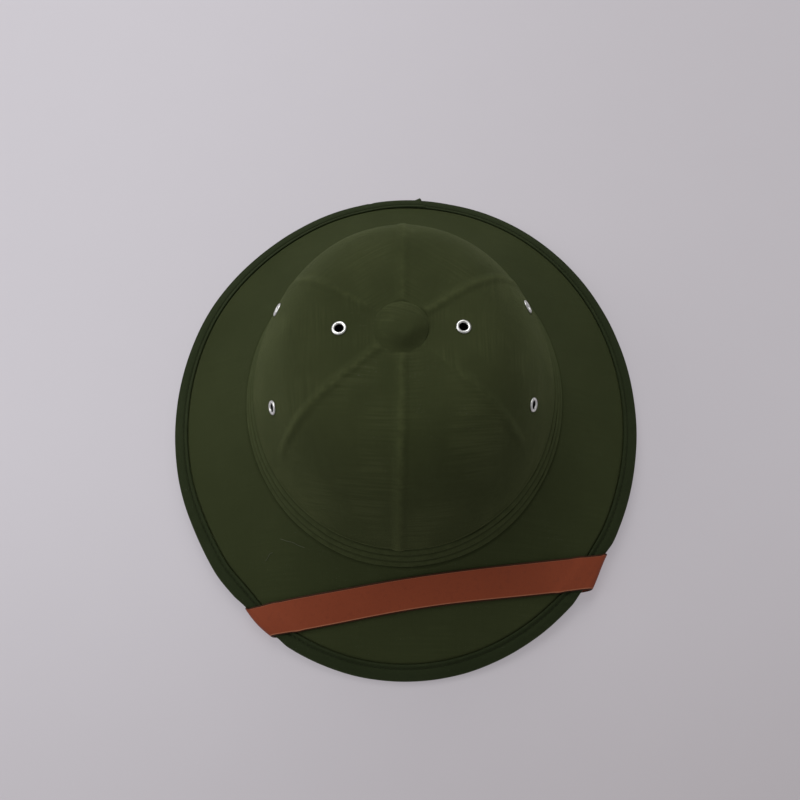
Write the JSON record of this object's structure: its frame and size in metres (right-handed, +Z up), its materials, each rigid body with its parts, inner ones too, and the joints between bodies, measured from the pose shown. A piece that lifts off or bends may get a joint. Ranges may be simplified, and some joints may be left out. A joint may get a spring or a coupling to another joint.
{
  "type": "pith helmet",
  "caption": "Cloth-covered sun helmet with a domed seamed crown, a sloping bound brim, metal eyelets and a leather chin strap stowed across the front of the brim.",
  "frame": {"origin": "on the surface that the rim rests on, under the middle of the rim's bounding box", "axes": "+Z up through the top button, -Y towards the front of the hat where the strap lies on the brim, +Y towards its back, +X towards the side that is on the right when the hat is seen from the front"},
  "size_m": [0.275, 0.311, 0.1245],
  "materials": {
    "crown_cloth": "dark olive green cotton, matt, fine weave",
    "brim_cloth": "dark olive green cotton, matt, fine weave",
    "binding_cloth": "dark olive green cotton strip cut on the bias, matt, stitched",
    "strap_leather": "red-brown leather, smooth, low sheen",
    "eyelet_metal": "pale bright metal, slightly dulled"
  },
  "bodies": {
    "root": {"crown_shell": "crown_cloth", "top_button": "crown_cloth", "crown_band": "binding_cloth", "brim": "brim_cloth", "rim_binding": "binding_cloth", "eyelet_left_front": "eyelet_metal", "eyelet_left_rear": "eyelet_metal", "eyelet_left_top": "eyelet_metal", "eyelet_right_front": "eyelet_metal", "eyelet_right_rear": "eyelet_metal", "eyelet_right_top": "eyelet_metal", "chin_strap": "strap_leather", "strap_rivet_left": "eyelet_metal", "strap_rivet_right": "eyelet_metal"}
  },
  "joints": []
}
